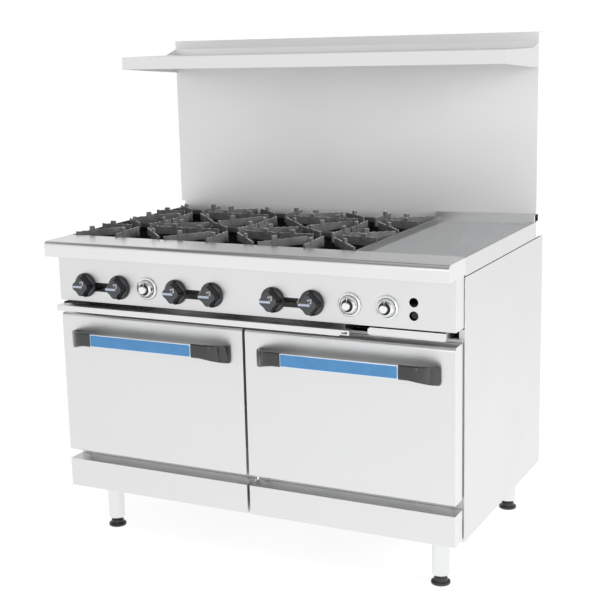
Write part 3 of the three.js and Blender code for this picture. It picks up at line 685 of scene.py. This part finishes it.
# ------------------------------------------------------------------ legs and feet
for fb in ("front", "rear"):
    for side in ("left", "right"):
        node = f"leg_{fb}_{side}"
        lo, hi = mm(node)
        cx, cy = (lo.x + hi.x) / 2, (lo.y + hi.y) / 2
        bm = bmesh.new()
        add_lathe(bm, [(10.8, 22.0), (18.2, 22.0), (19.0, 22.5), (23.2, 28.6), (23.8, 30.2), (24, 31.5), (24, 142), (24.6, 143.2), (27.5, 145.8), (27.5, 146.2), (20.5, 146.2), (20.5, 40), (10.8, 40), (10.8, 22.0)], 56, (cx, cy, 0))
        add_box(bm, lo.x, hi.x, lo.y, hi.y, 146, hi.z, 1.2, 3)
        for sx in (-1, 1):
            for sy in (-1, 1):
                add_lathe(bm, [(0, 140.5), (5.2, 140.5), (6.2, 141.5), (6.2, 146.1), (0, 146.1)], 6, (cx + sx * 33, cy + sy * 29, 0))
        obj(f"leg_{fb}_{side}_turned", bm, M["leg"], "root_frame", (node,), 38)
        node = f"foot_{fb}_{side}"
        lo, hi = mm(node)
        bm = bmesh.new()
        prof = [(0, 0), (24.8, 0), (26.2, 0.8), (26.5, 2.0), (26.5, 5.6), (26.0, 7.2), (24.4, 8.0), (20.4, 8.3), (19.2, 9.4), (18.9, 12.0), (18.6, 18.6), (17.6, 20.2), (16.5, 20.4), (9.4, 20.4)]
        z = 22.0
        while z < 102:
            prof += [(9.5, z), (8.6, z + 0.9), (8.6, z + 1.2), (9.5, z + 2.1)]
            z += 2.5
        prof += [(8.8, 103.4), (8.0, 104), (0, 104)]
        add_lathe(bm, prof, 40, (cx, cy, 0))
        obj(f"foot_{fb}_{side}_screw", bm, M["foot"], f"foot_{fb}_{side}", (node,), 34)

# ------------------------------------------------------------------ cast grates
def grate(node):
    lo, hi = mm(node)
    cx, cy = (lo.x + hi.x) / 2, (lo.y + hi.y) / 2
    w, d = (hi.x - lo.x) / 2, (hi.y - lo.y) / 2
    z0, zn = lo.z, hi.z
    z1 = zn - 8.0
    bm = bmesh.new()
    K = 13
    def octagon(m):
        k = K * (1 - m / 40)
        return [(-w + m + k, -d + m), (w - m - k, -d + m), (w - m, -d + m + k), (w - m, d - m - k), (w - m - k, d - m), (-w + m + k, d - m), (-w + m, d - m - k), (-w + m, -d + m + k)]
    prof = [(0.4, z0 + 0.8), (1.2, z0), (9.4, z0), (10.0, z0 + 0.8), (8.8, z0 + 13.2), (8.0, z0 + 14.0), (2.0, z0 + 14.0), (1.2, z0 + 13.2)]
    add_loft(bm, [[(cx + u, cy + v, z) for u, v in octagon(m)] for m, z in prof], closed=True)

    def fing(r0, r1, ang, top0, top1, bot0, wid=6.6):
        """Upright drafted bar from r0 to r1, its top edge toothed."""
        a = math.radians(ang)
        dx, dy = math.cos(a), math.sin(a)
        n = max(4, int((r1 - r0 - 8) / 9.5))
        st = [r0, r0 + 1.2]
        for i in range(n):
            q = r0 + 5 + (r1 - r0 - 7) * i / (n - 1)
            st += [q]
        st += [r1]
        rings = []
        for i, r in enumerate(st):
            t = (r - r0) / (r1 - r0)
            zt = top0 + (top1 - top0) * t - (1.5 if i % 2 == 0 and 1 < i < len(st) - 1 else 0.0)
            zb = bot0 + 1.5 * t if r < r0 + 46 else bot0 + 1.5 * t - (bot0 + 1.5 - z0 - 2) * (r - r0 - 46) / (r1 - r0 - 46)
            hw_t, hw_b = wid / 2 * 0.86, wid / 2
            if i == 0:
                zt -= 0.9
                zb += 1.0
                hw_t *= 0.8
                hw_b *= 0.8
            sec = [(-hw_b + 0.5, zb), (hw_b - 0.5, zb), (hw_b, zb + 0.6), (hw_t, zt - 0.6), (hw_t - 0.6, zt), (-hw_t + 0.6, zt), (-hw_t, zt - 0.6), (-hw_b, zb + 0.6)]
            rings.append([(cx + dx * r - dy * q, cy + dy * r + dx * q, z) for q, z in sec])
        add_loft(bm, rings)

    def lug(r, ang):
        a = math.radians(ang)
        dx, dy = math.cos(a), math.sin(a)
        rings = []
        for z, lx, ly in ((z1 - 12, 7.8, 4.9), (zn - 1.6, 7.2, 4.4), (zn - 0.5, 6.7, 3.9), (zn, 5.6, 2.9)):
            rings.append([(cx + dx * (r + p) - dy * q, cy + dy * (r + p) + dx * q, z) for p, q in ((-lx, -ly), (lx, -ly), (lx, ly), (-lx, ly))])
        add_loft(bm, rings)

    for a in (45, 135, 225, 315):
        fing(60, w * 1.414 - K / 2 - 1.5, a, z1, z1 - 5, z0 + 10)
    for a in (0, 180):
        fing(45, w - 0.6, a, z1, z1 - 1, z0 + 8)
    for a in (90, 270):
        fing(30, d - 0.6, a, z1, z1 - 4, z0 + 4)
    for q, a in ((116, 45), (136, 135), (156, 225), (136, 315), (110, 0), (110, 90), (110, 180), (110, 270)):
        lug(q, a)
    # top faces of the bars and lugs take the paler iron: a painted highlight
    for f in bm.faces:
        f.normal_update()
        if f.normal.z > 0.8 and f.calc_center_median().z > z0 + 17:
            f.material_index = 1
    obj(node + "_casting", bm, [M["grate"], M["grate_top_painted_highlight"]], node, (node,), 24)


for r in ("front", "rear"):
    for c in (1, 2, 3):
        grate(f"grate_{r}_{c}")

# ------------------------------------------------------------------ open burners
VALVE_X = [-515, -399, -210, -94, 94, 210]
for r in ("front", "rear"):
    for c in (1, 2, 3):
        node = f"burner_{r}_{c}"
        lo, hi = mm(node)
        cx = [-455, -151, 153][c - 1]
        cy = -129 if r == "front" else 180.5
        vx = VALVE_X[2 * c - 1] if r == "front" else VALVE_X[2 * c - 2]
        bm = bmesh.new()
        add_lathe(bm, [(0, 806), (18, 806), (20.5, 809), (20.5, 824), (24, 827), (36, 834.5), (45.5, 842), (48.2, 846), (48.8, 850), (48.6, 855), (47.6, 857.4), (45.8, 858.4)], 56, (cx, cy, 0))
        # slotted crown
        seg = 80
        rings = []
        for rr, z, rib in ((45.8, 858.4, 0), (44.6, 859.2, 1.4), (40.4, 863.4, 1.8), (36.0, 865.0, 0.8), (33.2, 865.4, 0)):
            rings.append([(cx + (rr - (rib if k % 4 < 2 else 0)) * math.cos(2 * math.pi * k / seg), cy + (rr - (rib if k % 4 < 2 else 0)) * math.sin(2 * math.pi * k / seg), z) for k in range(seg)])
        add_loft(bm, rings, caps=False)
        add_lathe(bm, [(33.2, 865.4), (31.2, 868.6), (28.6, 871.2), (25, 872.0), (12, 872.0), (9, 870.6), (0, 870.2)], 48, (cx, cy, 0))
        path = ([(vx, -288, 800), (vx, -250, 802), ((vx + cx) / 2 + 6, -190, 806), (cx, cy + 4, 812)] if r == "front" else
                [(vx, -288, 800), (vx, -200, 802), (vx, 20, 806), (vx + 2, 90, 806), (cx, cy + 4, 812)])
        sp = smooth_path(path, 8)
        rad = [11.5 + 3.4 * min(1, k / (len(sp) - 1) * 2.2) for k in range(len(sp))]
        add_tube(bm, sp, rad, 24)
        add_lathe(bm, [(15.2, -262), (15.2, -268), (18.4, -276), (20.4, -284), (20.8, -289.4), (19.4, -290), (17.6, -286), (13.6, -272), (11.5, -262)], 40, (vx, 0, 801), "y")
        obj(node + "_casting", bm, M["burner"], "root_frame", (node,), 40)

# ------------------------------------------------------------------ oven racks
for side in ("left", "right"):
    node = f"oven_rack_{side}"
    lo, hi = mm(node)
    z = (lo.z + hi.z) / 2
    bm = bmesh.new()
    rr = 12.0
    loop = []
    for (ax, ay, a0) in ((hi.x - 3.4 - rr, hi.y - 3.4 - rr, 0), (lo.x + 3.4 + rr, hi.y - 3.4 - rr, 90), (lo.x + 3.4 + rr, lo.y + 3.4 + rr, 180), (hi.x - 3.4 - rr, lo.y + 3.4 + rr, 270)):
        for k in range(7):
            a = math.radians(a0 + 15 * k)
            loop.append(Vector((ax + rr * math.cos(a), ay + rr * math.sin(a), z)))
    n = len(loop)
    rings = []
    for k in range(n):
        t = (loop[(k + 1) % n] - loop[k - 1]).normalized()
        out = Vector((t.y, -t.x, 0))
        rings.append([loop[k] + out * 3.2 * math.cos(2 * math.pi * q / 12) + Vector((0, 0, 3.2 * math.sin(2 * math.pi * q / 12))) for q in range(12)])
    add_loft(bm, rings, closed=True)
    for k in range(1, 20):
        x = lo.x + (hi.x - lo.x) * k / 20
        add_tube(bm, [(x, lo.y + 3.4, z + 0.8), (x, hi.y - 3.4, z + 0.8)], 1.9, 8)
    for y in (lo.y + 190, hi.y - 190):
        add_tube(bm, [(lo.x + 3.4, y, z - 0.6), (hi.x - 3.4, y, z - 0.6)], 2.6, 10)
    obj(node + "_wires", bm, M["wire"], node, (node,), 50)


# ------------------------------------------------------------------ small fittings
def screw(name, pos, axis, r=4.2, mat="zinc", body="root_frame"):
    """Pan-head screw with a cross recess; pos is on the surface, axis the way the head faces."""
    bm = bmesh.new()
    add_lathe(bm, [(0, -0.4), (r, -0.4), (r, 0.3), (r * 0.94, 1.0), (r * 0.72, 1.75), (r * 0.4, 2.1), (0, 2.2)], 24)
    for a in (0, 90):
        add_box(bm, -r * 0.55, r * 0.55, -0.32, 0.32, 2.02, 2.24, 0.05, 1)
        bmesh.ops.rotate(bm, verts=bm.verts, cent=(0, 0, 0), matrix=Matrix.Rotation(math.radians(90), 3, "Z"))
    q = Vector((0, 0, 1)).rotation_difference(Vector(axis))
    bmesh.ops.rotate(bm, verts=bm.verts, cent=(0, 0, 0), matrix=q.to_matrix())
    bmesh.ops.translate(bm, verts=bm.verts, vec=pos)
    return obj(name, bm, M[mat], body, (), 40)


# brass valve bodies and aluminium pilot tubes behind the lighting slots
for i, x in enumerate((-457, -152, 152), 1):
    bm = bmesh.new()
    add_lathe(bm, [(0, 342), (2.8, 342), (2.8, 336), (4.6, 335), (4.6, 326), (0, 326)], 6, (x + 8, 0, 772), "-y")
    add_lathe(bm, [(0, 336), (1.8, 336), (1.8, 326), (0, 326)], 20, (x + 15, 0, 776), "-y")
    obj(f"pilot_valve_{i}", bm, M["brass"], "root_frame", (), 35)
    bm = bmesh.new()
    add_tube(bm, smooth_path([(x + 8, -336, 772), (x + 9, -334, 784), (x + 11, -332, 796), (x + 12, -322, 805), (x + 12, -298, 812)], 6), 1.9, 12)
    obj(f"pilot_tube_{i}", bm, M["wire"], "root_frame", (), 50)

# igniter button recessed in the lower of the two holes
bm = bmesh.new()
add_lathe(bm, [(0, 349), (8.6, 349), (9.6, 348), (9.6, 334), (0, 334)], 36, (495, 0, 763), "-y")
obj("igniter_button", bm, M["knob_black_and_painted_shade"], "root_frame", (), 35)

# screws along the edge of the back panel
lo, hi = mm("back_panel")
k = 0
for x in (lo.x + 12, -290, 0, 290, hi.x - 12):
    for z in (lo.z + 12, hi.z - 12):
        k += 1
        screw(f"back_screw_{k}", (x, hi.y + 0.1, z), (0, 1, 0))
for x in (lo.x + 12, hi.x - 12):
    for z in (lo.z + 180, lo.z + 350, lo.z + 520):
        k += 1
        screw(f"back_screw_{k}", (x, hi.y + 0.1, z), (0, 1, 0))

# corner angles that close the gap between the back panel and the sides
for s in (-1, 1):
    bm = bmesh.new()
    xa, xb = sorted((s * 589.0, s * 607.6))
    add_box(bm, xa, xb, 409.4, 410.6, 699, 857, 0.3, 2)
    xa, xb = sorted((s * 606.4, s * 607.6))
    add_box(bm, xa, xb, 392.0, 410.0, 699, 857, 0.3, 2)
    obj(f"back_corner_{'left' if s < 0 else 'right'}", bm, M["galv"], "root_frame", (), 38)

# oven door seals on the face frames
for side in ("left", "right"):
    cx = -305 if side == "left" else 305
    bm = bmesh.new()
    rr, r = 16.0, 1.9
    x0, x1, z0, z1 = cx - 262, cx + 262, 292, 664
    loop = []
    for (ax, az, a0) in ((x1 - rr, z1 - rr, 0), (x0 + rr, z1 - rr, 90), (x0 + rr, z0 + rr, 180), (x1 - rr, z0 + rr, 270)):
        for q in range(7):
            a = math.radians(a0 + 15 * q)
            loop.append(Vector((ax + rr * math.cos(a), -298.4, az + rr * math.sin(a))))
    n = len(loop)
    rings = []
    for q in range(n):
        t = (loop[(q + 1) % n] - loop[q - 1]).normalized()
        out = Vector((t.z, 0, -t.x))
        rings.append([loop[q] + out * 2.6 * math.cos(2 * math.pi * j / 10) + Vector((0, 0.9 * math.sin(2 * math.pi * j / 10), 0)) for j in range(10)])
    add_loft(bm, rings, closed=True)
    obj(f"oven_seal_{side}", bm, M["seal"], "root_frame", (), 50)

# ------------------------------------------------------------------ stage, light, camera
bm = bmesh.new()
bmesh.ops.create_grid(bm, x_segments=2, y_segments=2, size=14)
me = bpy.data.meshes.new("floor")
bm.to_mesh(me)
bm.free()
floor = bpy.data.objects.new("floor", me)
bpy.context.scene.collection.objects.link(floor)
fm, nt, p = _mat("floor_pale")
n = _noise(nt, _coords(nt), 0.8, 2)
nt.links.new(_mix(nt, _range(nt, n, 0, 1), (0.20, 0.20, 0.20), (0.22, 0.22, 0.22)), p.inputs["Base Color"])
p.inputs["Roughness"].default_value = 0.9
p.inputs["Specular IOR Level"].default_value = 0.1
p.inputs["Emission Color"].default_value = (1, 1, 1, 1)
p.inputs["Emission Strength"].default_value = 0.90
me.materials.append(fm)
floor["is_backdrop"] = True

world = bpy.data.worlds.new("studio")
bpy.context.scene.world = world
world.use_nodes = True
wt = world.node_tree
wt.nodes.clear()
wo = wt.nodes.new("ShaderNodeOutputWorld")
bg = wt.nodes.new("ShaderNodeBackground")
tc = wt.nodes.new("ShaderNodeTexCoord")
sp_ = wt.nodes.new("ShaderNodeSeparateXYZ")
wt.links.new(tc.outputs["Generated"], sp_.inputs[0])
rm = wt.nodes.new("ShaderNodeValToRGB")
els = rm.color_ramp.elements
for pos, v in ((0.0, 1.0), (0.34, 1.0), (0.48, 0.62), (0.60, 0.22), (0.80, 0.12), (0.90, 0.30)):
    e = els.new(pos) if pos not in (0.0,) else els[0]
    e.position = pos
    e.color = (v, v, v, 1)
els[-1].position = 1.0
els[-1].color = (0.60, 0.60, 0.60, 1)
wt.links.new(sp_.outputs["Z"], rm.inputs[0])
wt.links.new(rm.outputs[0], bg.inputs[0])
bg.inputs["Strength"].default_value = 1.0
wt.links.new(bg.outputs[0], wo.inputs[0])


def area(name, loc, target, size, power, size_y=None, glossy=False):
    ld = bpy.data.lights.new(name, "AREA")
    ld.energy = power
    ld.shape = "RECTANGLE"
    ld.size = size
    ld.size_y = size_y or size
    o = bpy.data.objects.new(name, ld)
    bpy.context.scene.collection.objects.link(o)
    o.location = loc
    o.rotation_mode = "QUATERNION"
    o.rotation_quaternion = (Vector(target) - Vector(loc)).to_track_quat("-Z", "Y")
    o.visible_glossy = glossy
    return o


area("key_right", (4.1, -0.75, 2.15), (0, 0, 0.8), 1.8, 225)
area("fill_front", (-1.2, -4.6, 1.6), (0, 0, 0.8), 2.6, 14)
area("strip_front", (1.55, -5.0, 0.9), (0.1, 0, 0.7), 0.30, 10, 2.2, glossy=True)

cam_data = bpy.data.cameras.new("camera")
cam = bpy.data.objects.new("camera", cam_data)
bpy.context.scene.collection.objects.link(cam)
az, el, roll = math.radians(27.78), math.radians(11.85), math.radians(-1.63)
back = Vector((math.sin(az) * math.cos(el), -math.cos(az) * math.cos(el), math.sin(el)))
fwd = -back
right = fwd.cross(Vector((0, 0, 1))).normalized()
up = right.cross(fwd)
R2 = right * math.cos(roll) + up * math.sin(roll)
U2 = -right * math.sin(roll) + up * math.cos(roll)
cam.matrix_world = Matrix.Translation((1.62687, -3.28238, 1.46945)) @ Matrix((R2, U2, back)).transposed().to_4x4()
cam_data.sensor_width = 36
cam_data.lens = 75.77
cam_data.shift_x = 0.05
cam_data.clip_end = 60
bpy.context.scene.camera = cam
bpy.context.scene.view_settings.view_transform = "Standard"
bpy.context.scene.view_settings.look = "None"

lo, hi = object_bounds()
